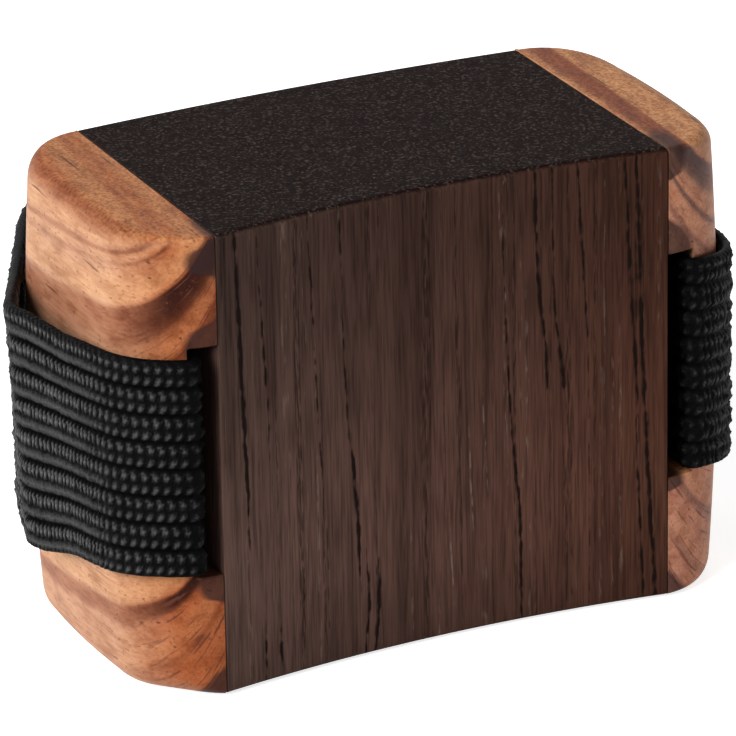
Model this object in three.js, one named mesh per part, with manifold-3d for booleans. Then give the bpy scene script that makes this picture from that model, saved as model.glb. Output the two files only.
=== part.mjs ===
// Finger shaker: a hollow hardwood block closed by two paler end caps, with loose steel shot inside
// and an elastic strap that holds it on two fingers.
// Millimetres, +Z up. X runs along the block and +Y points to the finger loop.
// The origin is the middle of the block's bottom face.

import * as THREE from "three";
import { mergeVertices } from "three/addons/utils/BufferGeometryUtils.js";
import Module from "manifold-3d";

const { degToRad } = THREE.MathUtils;

// Block, as shaped after glueing
const blockLength = 48;
const blockDepth = 23.3; // at the joints
const blockHeight = 34;
const cornerRadius = 6.45; // upright corners, seen from above
const dishDepth = 1.4; // hollow of the front face
const backBow = 0.65; // how far the back face bows out
const endCrown = 0.2; // how far each end face bows out, seen from above
const endBarrel = 0.8; // how far each end face falls in at its top and bottom
const longEdge = 0.45; // rounding of the top and bottom edges along the front and back
const endEdge = 1.65; // and round the ends

// Elastic strap
const strapWidth = 16;
const strapThickness = 0.95;
const strapRaise = 0.6; // its middle line over the block's middle
const ribCount = 8; // ribs run along the strap, on both faces
const ribDepth = 0.25;
const strapGap = 0.3; // strap to wood, and loop to tail
const fingerGap = 16; // clear depth of the loop behind the block
const leftFlare = degToRad(25); // the slack lies on the left, where the tail leans out from the front corner
const rightFlare = degToRad(3);
const backLean = degToRad(26); // how far the loop leans in past the back corners
const sideRadius = 2.4; // bend where the strap is widest

// Strap pockets, cut into the front of each cap's joint face
const pocketSlack = 0.95; // open gap beside the strap, over its own clearance
const pocketEndGap = 0.5; // above and below the strap
const pocketLand = 1.5; // wood left between a pocket and the chamber
const lipThickness = 4.55; // wood of the cap that the strap is folded round

// Sound chamber, a round-ended slot milled right through the core
const frontWall = 5.5; // behind the deepest point of the hollow front
const backWall = 4.5;
const floorWall = 5; // below and above the chamber

// Loose shot, lying in rows on the chamber's round floor
const shotDiameter = 2.5;
const shotGap = 0.3; // shot to shot, and shot to floor
const shotSpread = degToRad(170); // share of the round floor that rows may cover
const rowSpan = 17; // length that a row may fill
const rowShifts = [-3, 1.2, -1.6, 2.4]; // where the middle of each row lies at rest

// Fineness of the round shapes
const arcSteps = 5; // half the steps of each arc in the block's outline
const edgeSteps = 3;

// Places worked out from the sizes above
const halfLength = blockLength / 2;
const frontY = -blockDepth / 2;
const backY = blockDepth / 2;
const endX = halfLength - endCrown; // end face beside its corners
const cornerX = endX - cornerRadius;
const cornerY = backY - cornerRadius;
const pocketWidth = strapThickness + strapGap + pocketSlack;
const capThickness = pocketWidth + lipThickness;
const coreHalf = halfLength - capThickness; // the joint planes
const lipX = coreHalf + pocketWidth;
const strapWrap = strapGap + strapThickness / 2; // wood to the strap's middle line
const pocketDepth = dishDepth + frontWall - pocketLand;
const strapZ = blockHeight / 2 + strapRaise;
const chamberRadius = (blockDepth - dishDepth - frontWall - backWall) / 2;
const chamberY = frontY + dishDepth + frontWall + chamberRadius;
const floorCentreZ = floorWall + chamberRadius; // axis of the round floor
const ceilingCentreZ = blockHeight - floorCentreZ;
const cutMargin = 2; // how far cutting solids reach past what they cut

const wasm = await Module();
wasm.setup();

// Solids for cutting and joining

function solidOf(geometry) {
  const bare = geometry.clone();
  bare.deleteAttribute("normal");
  bare.deleteAttribute("uv");
  const merged = mergeVertices(bare, 1e-4);
  return new wasm.Manifold(
    new wasm.Mesh({
      numProp: 3,
      vertProperties: new Float32Array(merged.attributes.position.array),
      triVerts: new Uint32Array(merged.index.array),
    }),
  );
}

function geometryFrom(positions, faces) {
  const geometry = new THREE.BufferGeometry();
  geometry.setAttribute("position", new THREE.Float32BufferAttribute(positions, 3));
  geometry.setIndex(faces);
  geometry.computeVertexNormals();
  return geometry;
}

function geometryOf(solid) {
  const { vertProperties, triVerts } = solid.getMesh();
  return geometryFrom(Array.from(vertProperties), Array.from(triVerts));
}

function boxBetween(low, high) {
  const size = high.map((value, axis) => value - low[axis]);
  const centre = high.map((value, axis) => (value + low[axis]) / 2);
  return solidOf(new THREE.BoxGeometry(...size).translate(...centre));
}

// Joins rings of equal length into one closed skin. The flat outlines are of the first and last ring,
// and each ring runs anticlockwise when the next one is nearer to the viewer.
function skinOf(rings, firstFlat, lastFlat) {
  const count = rings[0].length;
  const faces = [];
  for (let ring = 0; ring + 1 < rings.length; ring++) {
    for (let i = 0; i < count; i++) {
      const here = ring * count + i;
      const beside = ring * count + ((i + 1) % count);
      faces.push(here, beside, here + count, beside, beside + count, here + count);
    }
  }
  const lastStart = (rings.length - 1) * count;
  for (const [a, b, c] of THREE.ShapeUtils.triangulateShape(firstFlat, [])) faces.push(a, c, b);
  for (const [a, b, c] of THREE.ShapeUtils.triangulateShape(lastFlat, [])) {
    faces.push(lastStart + a, lastStart + b, lastStart + c);
  }
  return geometryFrom(rings.flat(2), faces);
}

// Block blank, with the hollow front, bowed back and ends, and round corners

function blockOutline() {
  const quarter = Math.PI / 2;
  const arcRadius = (halfChord, rise) => (halfChord ** 2 + rise ** 2) / (2 * rise);
  const dishRadius = arcRadius(cornerX, dishDepth);
  const bowRadius = arcRadius(cornerX, backBow);
  const crownRadius = arcRadius(cornerY, endCrown);
  const dishHalf = Math.asin(cornerX / dishRadius);
  const bowHalf = Math.asin(cornerX / bowRadius);
  const crownHalf = Math.asin(cornerY / crownRadius);
  const outline = new THREE.Shape();
  outline.absarc(0, frontY + dishDepth - dishRadius, dishRadius, quarter + dishHalf, quarter - dishHalf, true);
  outline.absarc(cornerX, -cornerY, cornerRadius, -quarter, 0);
  outline.absarc(halfLength - crownRadius, 0, crownRadius, -crownHalf, crownHalf);
  outline.absarc(cornerX, cornerY, cornerRadius, 0, quarter);
  outline.absarc(0, backY + backBow - bowRadius, bowRadius, quarter - bowHalf, quarter + bowHalf);
  outline.absarc(-cornerX, cornerY, cornerRadius, quarter, 2 * quarter);
  outline.absarc(crownRadius - halfLength, 0, crownRadius, 2 * quarter - crownHalf, 2 * quarter + crownHalf);
  outline.absarc(-cornerX, -cornerY, cornerRadius, 2 * quarter, 3 * quarter);
  const apart = (point, i, all) => point.distanceTo(all[(i + 1) % all.length]) > 1e-6;
  return outline.getPoints(arcSteps).filter(apart);
}

// Each row of the blank's side is an inset and a height for an edge rounded by the given radius.
function sideRows() {
  const edge = [];
  for (let step = 0; step <= edgeSteps; step++) {
    const turn = (step / edgeSteps) * (Math.PI / 2);
    edge.push([1 - Math.sin(turn), 1 - Math.cos(turn)]);
  }
  const bottom = edge.map(([inset, rise]) => (radius) => [inset * radius, rise * radius]);
  const wall = [0.3, 0.5, 0.7].map((share) => () => [0, share * blockHeight]);
  const top = edge.map(([inset, rise]) => (radius) => [inset * radius, blockHeight - rise * radius]).reverse();
  return [...bottom, ...wall, ...top];
}

function makeBlank() {
  const outline = blockOutline();
  const normals = outline.map((_, i) => {
    const along = outline[(i + 1) % outline.length].clone().sub(outline.at(i - 1)).normalize();
    return new THREE.Vector2(along.y, -along.x);
  });
  const rings = sideRows().map((row) =>
    outline.map((point, i) => {
      const endShare = normals[i].x ** 2; // 0 along the front and back, 1 along an end
      const [inset, z] = row(longEdge + (endEdge - longEdge) * endShare);
      const fall = endBarrel * endShare * ((2 * z) / blockHeight - 1) ** 2;
      const { x, y } = normals[i].clone().multiplyScalar(-inset - fall).add(point);
      return [x, y, z];
    }),
  );
  const flat = (ring) => ring.map(([x, y]) => new THREE.Vector2(x, y));
  return solidOf(skinOf(rings, flat(rings[0]), flat(rings.at(-1))));
}

const blank = makeBlank();

// Core: the dark middle of the blank, with the chamber milled through it

function chamberSolid() {
  const section = new THREE.Shape();
  section.absarc(chamberY, floorCentreZ, chamberRadius, Math.PI, 2 * Math.PI);
  section.absarc(chamberY, ceilingCentreZ, chamberRadius, 0, Math.PI);
  const geometry = new THREE.ExtrudeGeometry(section, {
    depth: blockLength,
    curveSegments: 8,
    bevelEnabled: false,
  }).translate(0, 0, -halfLength);
  const drawnYZ = new THREE.Matrix4().set(0, 0, 1, 0, 1, 0, 0, 0, 0, 1, 0, 0, 0, 0, 0, 1);
  return solidOf(geometry.applyMatrix4(drawnYZ));
}

function coreGeometry() {
  const slice = boxBetween(
    [-coreHalf, frontY - cutMargin, -cutMargin],
    [coreHalf, backY + backBow + cutMargin, blockHeight + cutMargin],
  );
  return geometryOf(blank.intersect(slice).subtract(chamberSolid()));
}

// End cap on the side given by sign, with its pocket for the strap's tail

function capGeometry(sign) {
  const across = (inner, outer) => (sign > 0 ? [inner, outer] : [-outer, -inner]);
  const [capLow, capHigh] = across(coreHalf, halfLength + cutMargin);
  const slice = boxBetween(
    [capLow, frontY - cutMargin, -cutMargin],
    [capHigh, backY + backBow + cutMargin, blockHeight + cutMargin],
  );
  const pocketHalf = strapWidth / 2 + pocketEndGap;
  const [pocketLow, pocketHigh] = across(coreHalf - cutMargin, lipX);
  const pocket = boxBetween(
    [pocketLow, frontY - cutMargin, strapZ - pocketHalf],
    [pocketHigh, frontY + pocketDepth, strapZ + pocketHalf],
  );
  return geometryOf(blank.intersect(slice).subtract(pocket));
}

// Strap: its middle line seen from above, laid as stations along straights and arcs.
// Heading 0 points to +Y and grows towards +X.

function strapWalker(x, y, heading) {
  const stations = [{ x, y, heading }];
  return {
    stations,
    straight(length) {
      const last = stations.at(-1);
      stations.push({
        x: last.x + length * Math.sin(last.heading),
        y: last.y + length * Math.cos(last.heading),
        heading: last.heading,
      });
    },
    turnLeft(angle, radius, steps) {
      const start = stations.at(-1);
      const centreX = start.x - radius * Math.cos(start.heading);
      const centreY = start.y + radius * Math.sin(start.heading);
      for (let step = 1; step <= steps; step++) {
        const heading = start.heading - (angle * step) / steps;
        stations.push({
          x: centreX + radius * Math.cos(heading),
          y: centreY - radius * Math.sin(heading),
          heading,
        });
      }
    },
  };
}

// Where the strap passes an end, as lengths of its middle line. It leaves the front corner leaning out by
// the flare, bends at its widest point, and leans in past the back corner.
function endPass(flare) {
  const reach = cornerRadius + strapWrap;
  const corners = reach * (Math.cos(backLean) - Math.cos(flare));
  const depth = 2 * cornerY + reach * (Math.sin(backLean) + Math.sin(flare));
  const outward = (corners + Math.tan(backLean) * depth) / (Math.sin(flare) + Math.tan(backLean) * Math.cos(flare));
  const homeward = (depth - outward * Math.cos(flare)) / Math.cos(backLean);
  const bend = sideRadius * Math.tan((flare + backLean) / 2);
  return { frontRun: outward - bend, backRun: homeward - bend };
}

// Tail on +X: out of the pocket, round the lip, round the cap's front corner and out to the widest point.
function tailStations(flare) {
  const lipPastCorner = lipX - cornerX;
  const lipLean = Math.asin(Math.max(0, lipPastCorner) / cornerRadius);
  const lipY = -cornerY - cornerRadius * Math.cos(lipLean);
  const tailEndY = frontY + pocketDepth - strapGap;
  const walker = strapWalker(lipX - strapWrap, tailEndY, Math.PI);
  walker.straight(tailEndY - lipY);
  walker.turnLeft(Math.PI / 2 + lipLean, strapWrap, 6);
  if (lipPastCorner < 0) walker.straight(-lipPastCorner);
  walker.turnLeft(Math.PI / 2 - lipLean - flare, cornerRadius + strapWrap, 5);
  walker.straight(endPass(flare).frontRun);
  walker.turnLeft(flare, sideRadius, 3);
  return walker.stations;
}

// Half of the loop on +X: from just past the tail to the top of the closing arc.
function halfLoopStations(tail, flare) {
  const { x, y } = tail.at(-1);
  const joinTurn = strapGap / sideRadius;
  const walker = strapWalker(x, y, 0);
  walker.turnLeft(joinTurn, sideRadius, 1);
  walker.stations.shift();
  walker.turnLeft(backLean - joinTurn, sideRadius, 3);
  walker.straight(endPass(flare).backRun);
  const passing = walker.stations.at(-1);
  const apexY = backY + backBow + fingerGap + strapThickness / 2;
  const rise = (1 - Math.sin(backLean)) / Math.cos(backLean); // of the closing arc, per unit of its start's X
  const run = (apexY - passing.y - passing.x * rise) / (Math.cos(backLean) - Math.sin(backLean) * rise);
  walker.straight(run);
  walker.turnLeft(Math.PI / 2 - backLean, walker.stations.at(-1).x / Math.cos(backLean), 8);
  return walker.stations;
}

// The same run of the strap on the -X side, walked the other way.
function mirrored(stations) {
  return stations.map(({ x, y, heading }) => ({ x: -x, y, heading: Math.PI - heading })).reverse();
}

// Cross-section of the strap: offset to the left of the heading, and height.
function strapSection() {
  const pitch = strapWidth / ribCount;
  const bottom = strapZ - strapWidth / 2;
  const face = [];
  for (let rib = 0; rib < ribCount; rib++) {
    face.push(new THREE.Vector2(strapThickness / 2 - ribDepth, bottom + rib * pitch));
    face.push(new THREE.Vector2(strapThickness / 2, bottom + (rib + 0.5) * pitch));
  }
  face.push(new THREE.Vector2(strapThickness / 2 - ribDepth, bottom + strapWidth));
  const otherFace = face.map(({ x, y }) => new THREE.Vector2(-x, y)).reverse();
  return [...face, ...otherFace];
}

function strapGeometry(stations) {
  const section = strapSection();
  const rings = stations.map(({ x, y, heading }) =>
    section.map((corner) => [x - corner.x * Math.cos(heading), y + corner.x * Math.sin(heading), corner.y]),
  );
  return skinOf(rings, section, section);
}

// Shot: rows lie side by side round the floor, each a line of balls along the chamber

function shotPlaces() {
  const pitch = shotDiameter + shotGap;
  const ringRadius = chamberRadius - shotGap - shotDiameter / 2;
  const rowStep = 2 * Math.asin(Math.min(1, pitch / 2 / ringRadius));
  const rows = Math.max(1, Math.floor(shotSpread / rowStep));
  const perRow = Math.max(1, Math.floor(rowSpan / pitch));
  const places = [];
  for (let row = 0; row < rows; row++) {
    const angle = (row - (rows - 1) / 2) * rowStep;
    for (let ball = 0; ball < perRow; ball++) {
      places.push({
        name: `shot_row${row + 1}_ball${ball + 1}`,
        x: (ball - (perRow - 1) / 2) * pitch + rowShifts[row % rowShifts.length],
        y: chamberY + ringRadius * Math.sin(angle),
        z: floorCentreZ - ringRadius * Math.cos(angle),
      });
    }
  }
  return places;
}

// Materials

const darkWood = new THREE.MeshStandardMaterial({ color: 0x3b2a25, roughness: 0.5, metalness: 0 });
const paleWood = new THREE.MeshStandardMaterial({ color: 0xb9713f, roughness: 0.42, metalness: 0 });
const blackElastic = new THREE.MeshStandardMaterial({ color: 0x17191a, roughness: 0.95, metalness: 0 });
const steel = new THREE.MeshStandardMaterial({ color: 0xb9bcbf, roughness: 0.3, metalness: 1 });

function piece(name, geometry, material) {
  const mesh = new THREE.Mesh(geometry, material);
  mesh.name = name;
  return mesh;
}

// Assembly

const block = new THREE.Group();
block.add(
  piece("core_block", coreGeometry(), darkWood),
  piece("left_end_cap", capGeometry(-1), paleWood),
  piece("right_end_cap", capGeometry(1), paleWood),
);

const strap = new THREE.Group();
const leftTail = tailStations(leftFlare);
const rightTail = tailStations(rightFlare);
const loop = [
  ...halfLoopStations(rightTail, rightFlare),
  ...mirrored(halfLoopStations(leftTail, leftFlare)).slice(1),
];
strap.add(
  piece("strap_left_tail", strapGeometry(mirrored(leftTail)), blackElastic),
  piece("strap_finger_loop", strapGeometry(loop), blackElastic),
  piece("strap_right_tail", strapGeometry(rightTail), blackElastic),
);

const shot = new THREE.Group();
for (const { name, x, y, z } of shotPlaces()) {
  const ball = piece(name, new THREE.IcosahedronGeometry(shotDiameter / 2, 1), steel);
  ball.position.set(x, y, z);
  shot.add(ball);
}

const fingerShaker = new THREE.Group();
fingerShaker.add(block, strap, shot);

export default fingerShaker;
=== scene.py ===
import math
import bmesh
import bpy
import numpy as np
from mathutils import Matrix, Vector


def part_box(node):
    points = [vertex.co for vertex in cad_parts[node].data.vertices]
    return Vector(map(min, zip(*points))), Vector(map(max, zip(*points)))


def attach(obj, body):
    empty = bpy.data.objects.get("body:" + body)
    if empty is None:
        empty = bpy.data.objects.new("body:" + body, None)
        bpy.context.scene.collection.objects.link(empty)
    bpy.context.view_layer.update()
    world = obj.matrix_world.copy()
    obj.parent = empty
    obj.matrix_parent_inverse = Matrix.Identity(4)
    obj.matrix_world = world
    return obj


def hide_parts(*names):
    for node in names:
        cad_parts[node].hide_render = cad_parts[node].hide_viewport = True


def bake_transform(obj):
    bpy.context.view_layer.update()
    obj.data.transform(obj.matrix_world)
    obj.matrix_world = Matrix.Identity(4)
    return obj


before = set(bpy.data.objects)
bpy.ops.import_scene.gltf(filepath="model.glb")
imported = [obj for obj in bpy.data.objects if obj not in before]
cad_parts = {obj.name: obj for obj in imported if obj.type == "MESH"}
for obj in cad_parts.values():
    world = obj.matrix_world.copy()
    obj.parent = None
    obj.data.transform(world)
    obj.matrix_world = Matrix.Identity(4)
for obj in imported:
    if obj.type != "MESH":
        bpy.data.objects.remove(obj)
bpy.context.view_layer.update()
scene = bpy.context.scene
scene.view_settings.view_transform = "Standard"
mm = 0.001  # shapes are worked out in millimetres
quarter = math.pi / 2  # quarter turn
weldReach = 1e-7  # vertices nearer to each other than this become one
tiny = 1e-9  # keeps a division away from zero
print("frame loaded:", len(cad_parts), "nodes")


def linearColour(code):  # sRGB hex to linear RGBA, by the standard's own curve
    channels = [int(code[i:i + 2], 16) / 255 for i in (1, 3, 5)]
    return [c / 12.92 if c <= 0.04045 else ((c + 0.055) / 1.055) ** 2.4 for c in channels] + [1.0]


def addNode(tree, kind, sockets=None, stops=None, curve=None, span=None, **settings):
    # one node with its settings; a socket takes a value, a hex colour, a node or another socket,
    # and a span is the values that go in, low and high, and then those that come out
    node = tree.nodes.new("ShaderNode" + kind)
    for name, value in settings.items():
        setattr(node, name, value)
    if stops:
        elements = node.color_ramp.elements
        while len(elements) < len(stops):
            elements.new(0.5)
        for element, (place, code) in zip(elements, stops):
            element.position, element.color = place, linearColour(code)
    if curve:
        points = node.mapping.curves[0].points
        while len(points) < len(curve):
            points.new(0.5, 0.5)
        for point, place in zip(points, curve):
            point.location, point.handle_type = place, "AUTO_CLAMPED"
        node.mapping.extend = "HORIZONTAL"
        node.mapping.update()
    sockets = dict(sockets or {})
    sockets.update(zip(("From Min", "From Max", "To Min", "To Max"), span or ()))
    for name, value in sockets.items():
        if isinstance(name, int):
            socket = node.inputs[name]
        else:
            socket = next(s for s in node.inputs if s.enabled and s.name == name)
        if isinstance(value, bpy.types.Node):
            value = next(s for s in value.outputs if s.enabled)
        if isinstance(value, bpy.types.NodeSocket):
            tree.links.new(value, socket)
        else:
            socket.default_value = linearColour(value) if isinstance(value, str) else value
    return node


def newMaterial(name):
    material = bpy.data.materials.new(name)
    material.use_nodes = True
    material.node_tree.nodes.clear()
    return material, material.node_tree


def surfaceInputs(tree):  # a point's place on the piece, its X, Y and Z, and the way the surface faces there
    coords = addNode(tree, "TexCoord").outputs["Object"]
    normal = addNode(tree, "NewGeometry").outputs["Normal"]
    return coords, *(addNode(tree, "SeparateXYZ", {0: source}).outputs for source in (coords, normal))


def finishMaterial(tree, look, colour, relief, roughness):  # last nodes of a material: bump, shader, output
    bump = addNode(tree, "Bump", {"Height": relief, "Strength": look["bumpStrength"],
                                  "Distance": look["bumpDepth"] * mm})
    shader = addNode(tree, "BsdfPrincipled",
                     {"Base Color": colour, "Roughness": roughness, "IOR": look["ior"],
                      "Specular IOR Level": look["specular"], "Normal": bump})
    addNode(tree, "OutputMaterial", {"Surface": shader})


def putMesh(name, points, faces, material, creaseDegrees=40, weld=False):
    # points in millimetres; faces share vertices and are shaded smooth except over sharp creases
    mesh = bpy.data.meshes.new(name)
    mesh.from_pydata((np.asarray(points).reshape(-1, 3) * mm).tolist(), [], faces)
    if weld:
        work = bmesh.new()
        work.from_mesh(mesh)
        bmesh.ops.remove_doubles(work, verts=work.verts, dist=weldReach)
        bmesh.ops.recalc_face_normals(work, faces=work.faces)
        work.to_mesh(mesh)
        work.free()
    mesh.shade_smooth()
    mesh.set_sharp_from_angle(angle=math.radians(creaseDegrees))
    mesh.materials.append(material)
    piece = bpy.data.objects.new(name, mesh)
    scene.collection.objects.link(piece)
    return piece


def gridFaces(rows, columns, wrapRows=False, wrapColumns=False):
    # quads of a grid of rows x columns vertices, closed round either way
    r = np.arange(rows if wrapRows else rows - 1)[:, None]
    c = np.arange(columns if wrapColumns else columns - 1)[None, :]
    down, along = (r + 1) % rows, (c + 1) % columns
    corners = [r * columns + c, r * columns + along, down * columns + along, down * columns + c]
    return np.stack(np.broadcast_arrays(*corners), -1).reshape(-1, 4).tolist()


# camera: where the photograph was taken from, on a long lens; angles in degrees, lengths in millimetres
view = {"azimuth": -25.656, "elevation": 22.793, "roll": -1.016, "distance": 447.46, "aim": (0, 0, 17),
        "right": -0.4448, "up": -0.255, "lens": 310.06, "sensor": 36, "clip": (10, 20000)}
azimuth, elevation, roll = (math.radians(view[k]) for k in ("azimuth", "elevation", "roll"))
back = Vector((math.sin(azimuth) * math.cos(elevation), -math.cos(azimuth) * math.cos(elevation),
               math.sin(elevation)))
level = (-back).cross(Vector((0, 0, 1))).normalized()
upright = level.cross(-back)
camRight = level * math.cos(roll) + upright * math.sin(roll)
camUp = upright * math.cos(roll) - level * math.sin(roll)
place = Vector(view["aim"]) + back * view["distance"] + camRight * view["right"] + camUp * view["up"]
camera = bpy.data.objects.new("camera", bpy.data.cameras.new("camera"))
camera.matrix_world = Matrix.Translation(place * mm) @ Matrix((camRight, camUp, back)).transposed().to_4x4()
camera.data.lens = view["lens"]
camera.data.sensor_width = view["sensor"]
camera.data.clip_start, camera.data.clip_end = (reach * mm for reach in view["clip"])
scene.collection.objects.link(camera)
scene.camera = camera
print("camera placed")

# studio: soft lamps, white surroundings, pale floor; lengths in metres
studio = {"floorSize": 6.0, "floorDrop": 0.0002, "floorColour": "#eeeeee", "floorLift": 0.75, "ambient": 0.12,
          "aim": (0, 0, 0.017),
          # lamps: place, width and watts
          "lamps": [("key", (-0.8, -0.25, 0.53), 0.6, 11.6),
                    ("fill", (0.25, -0.95, 0.16), 0.5, 3.2),
                    ("rear", (0.35, 0.6, 0.72), 0.6, 1.0),
                    ("low", (-0.5, 0.9, 0.2), 0.5, 2.4)]}
for name, spot, size, power in studio["lamps"]:
    lamp = bpy.data.objects.new(name, bpy.data.lights.new(name, "AREA"))
    lamp.data.shape, lamp.data.size, lamp.data.energy = "DISK", size, power
    lamp.location = spot
    lamp.rotation_euler = (Vector(studio["aim"]) - Vector(spot)).to_track_quat("-Z", "Y").to_euler()
    scene.collection.objects.link(lamp)


def whiteRays(tree):  # 1 for the rays that see the background: from the camera, through glass or off gloss
    ray = addNode(tree, "LightPath").outputs
    seen = addNode(tree, "Math", {0: ray["Is Camera Ray"], 1: ray["Is Transmission Ray"]},
                   operation="MAXIMUM")
    return addNode(tree, "Math", {0: seen, 1: ray["Is Glossy Ray"]}, operation="MAXIMUM")


world = bpy.data.worlds.new("whiteStudio")
scene.world = world
world.use_nodes = True
tree = world.node_tree
tree.nodes.clear()
strength = addNode(tree, "MapRange", {"Value": whiteRays(tree)}, span=(0.0, 1.0, studio["ambient"], 1.0))
sky = addNode(tree, "Background", {"Color": "#ffffff", "Strength": strength})
addNode(tree, "OutputWorld", {"Surface": sky})

# matt paper, lifted to white where the camera sees it unshaded
floorPaint, tree = newMaterial("whiteStudioPaper")
matt = addNode(tree, "BsdfDiffuse", {"Color": studio["floorColour"]})
lift = addNode(tree, "Math", {0: whiteRays(tree), 1: studio["floorLift"]}, operation="MULTIPLY")
glow = addNode(tree, "Emission", {"Color": "#ffffff", "Strength": lift})
both = addNode(tree, "AddShader", {0: matt, 1: glow})
addNode(tree, "OutputMaterial", {"Surface": both})
half, drop = studio["floorSize"] / 2 / mm, studio["floorDrop"] / mm
floorCorners = [(-half, -half, -drop), (half, -half, -drop), (half, half, -drop), (-half, half, -drop)]
floor = putMesh("floor", floorCorners, [(0, 1, 2, 3)], floorPaint)
print("studio ready")

# block: sizes shared by the core and its caps, in millimetres
block = {"length": 48.0, "depth": 23.3, "height": 34.0, "corner": 6.45, "dish": 1.4, "bow": 0.65,
         "crown": 0.2, "barrel": 0.8, "longEdge": 0.45, "endEdge": 1.65, "jointX": 17.25, "seam": 0.08}
cornerX = block["length"] / 2 - block["crown"] - block["corner"]
cornerY = block["depth"] / 2 - block["corner"]
# radius of an arc from its half chord and its height
dishRadius = (cornerX ** 2 + block["dish"] ** 2) / (2 * block["dish"])
bowRadius = (cornerX ** 2 + block["bow"] ** 2) / (2 * block["bow"])
crownRadius = (cornerY ** 2 + block["crown"] ** 2) / (2 * block["crown"])


def frontAt(x):  # hollow front: circular arc of the dish's depth between the corners
    return -block["depth"] / 2 + block["dish"] - dishRadius + np.sqrt(dishRadius ** 2 - x ** 2)


def backAt(x):  # bowed back, likewise
    return block["depth"] / 2 + block["bow"] - bowRadius + np.sqrt(bowRadius ** 2 - x ** 2)


# oiled rosewood, sanded: the grain stands along Z, so pores are lines on the sides and specks on the ends
darkWood = {"brown": "#664e46", "red": "#59392d", "endGrain": "#130908", "pore": "#7f6e64",
            "vessel": "#120c0a", "ior": 1.5, "specular": 0.015, "gloss": (0.3, 0.7, 0.5, 0.65),
            "fibreRelief": 0.25, "bumpStrength": 0.5, "bumpDepth": 0.06,
            # width across and length along the grain in millimetres, then the noise's detail and distortion;
            # real fibres are finer and are drawn as coarse as they need to show
            "grain": {"band": (4.5, 80, 3, 0.6), "streak": (0.9, 34, 3, 0.4), "fibre": (0.16, 4.0, 2, 0.0),
                      "lane": (0.5, 70, 1, 0.0), "dot": (0.14, 1.3, 1, 0.2), "speck": (0.23, 1.5, 2, 0.3),
                      "wander": (10, 10 / 3, 3, 0.0), "break": (0.4, 10 / 9, 1, 0.0)},
            "tones": {"band": [(0.3, "#e0e0e0"), (0.48, "#f2f2f2"), (0.7, "#ffffff")],
                      "streak": [(0.32, "#cecece"), (0.46, "#f0f0f0"), (0.68, "#ffffff")],
                      "fibre": [(0.3, "#c0c0c0"), (0.6, "#ffffff")]},
            # how far a face looks up or down to be end grain, where the front starts, X from brown to red
            "endFacing": (0.5, 0.9), "frontY": (-9.0 * mm, -9.8 * mm), "redX": (-16 * mm, 16 * mm),
            "darkLane": (0.6, 0.7), "paleLane": (0.42, 0.34),
            "dots": (0.42, 0.58, 0.0, 0.6), "specks": (0.54, 0.74, 0.0, 0.36),
            # tone of the sides by height: a painted sheen, brightest low in the middle of the face and darker
            # towards the top and bottom
            "paintedSheenByHeight": [(0, 0.7), (4, 0.85), (9, 1.0), (14, 0.95), (19, 0.82), (24, 0.71), (30, 0.62),
                     (34, 0.59)],
            # vessel lines wander sideways and break up along their length
            "wander": (0.0, 1.0, -0.08 * mm, 0.08 * mm), "break": (0.3, 0.6, -0.14, 0.02),
            "lineReach": 20, "lineEdge": 0.14, "lineStrength": {"dark": 0.95, "pale": 0.7},
            # vessel lines of the front face, as (height, X, half width) in millimetres, X within lineReach
            "dark": [
                [(9, -15.1, 0.0), (14, -15.2, 0.24), (25, -15.5, 0.25), (34, -15.8, 0.22)],
                [(15.5, -13.4, 0.0), (19, -13.4, 0.16), (25.5, -13.7, 0.17), (33, -14.0, 0.09)],
                [(4, -6.3, 0.0), (8, -6.4, 0.21), (14, -6.7, 0.24), (18, -7.1, 0.16), (33, -7.5, 0.13)],
                [(0, -5.3, 0.21), (5, -4.9, 0.24), (9, -5.0, 0.0)],
                [(1, -6.0, 0.16), (4, -5.7, 0.2), (9.5, -5.9, 0.0)],
                [(0, -14.1, 0.13), (3, -14.0, 0.16), (6, -14.0, 0.0)],
                [(0, -12.7, 0.2), (2, -12.8, 0.21), (4.5, -12.8, 0.0)],
                [(4.2, -11.0, 0.0), (6, -10.9, 0.18), (8, -10.9, 0.0)],
                [(9, -8.9, 0.08), (14, -9.2, 0.13), (20, -9.5, 0.13), (28, -9.8, 0.16), (34, -10.0, 0.11)],
                [(1, 6.2, 0.18), (9, 6.1, 0.21), (13, 5.7, 0.18), (22, 5.2, 0.15), (33, 4.9, 0.11)],
                [(15.5, 8.35, 0.0), (19.7, 8.2, 0.21), (27, 7.55, 0.22), (34, 7.4, 0.21)],
                [(16.5, 9.6, 0.0), (18, 9.5, 0.23), (23, 8.9, 0.15), (33, 8.7, 0.15)],
                [(18, 11.4, 0.08), (23, 11.2, 0.16), (28, 10.9, 0.2), (34, 10.6, 0.15)],
                [(0, 16.35, 0.24), (14, 15.6, 0.24), (25, 15.2, 0.22), (34, 14.95, 0.16)],
                [(13, 15.1, 0.08), (20, 14.8, 0.21), (25, 14.5, 0.21), (34, 14.1, 0.16)],
                [(0, 15.5, 0.17), (8, 15.1, 0.18), (13, 14.9, 0.11)]],
            "pale": [
                [(9, 3.8, 0.0), (14, 3.5, 0.09), (20, 3.3, 0.0)],
                [(5.4, 2.6, 0.0), (11, 2.4, 0.09), (17, 2.2, 0.0)],
                [(1, 1.05, 0.06), (6, 0.8, 0.09), (10.5, 0.6, 0.0)]]}
rosewood, tree = newMaterial("oiledRosewood")
coords, axes, facing = surfaceInputs(tree)
grain = {}
for name, (across, along, detail, warp) in darkWood["grain"].items():
    scale = (1 / across / mm, 1 / across / mm, 1 / along / mm)
    spaced = addNode(tree, "Mapping", {"Vector": coords, "Scale": scale})
    grain[name] = addNode(tree, "TexNoise",
                          {"Vector": spaced, "Scale": 1.0, "Detail": detail, "Distortion": warp})
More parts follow.
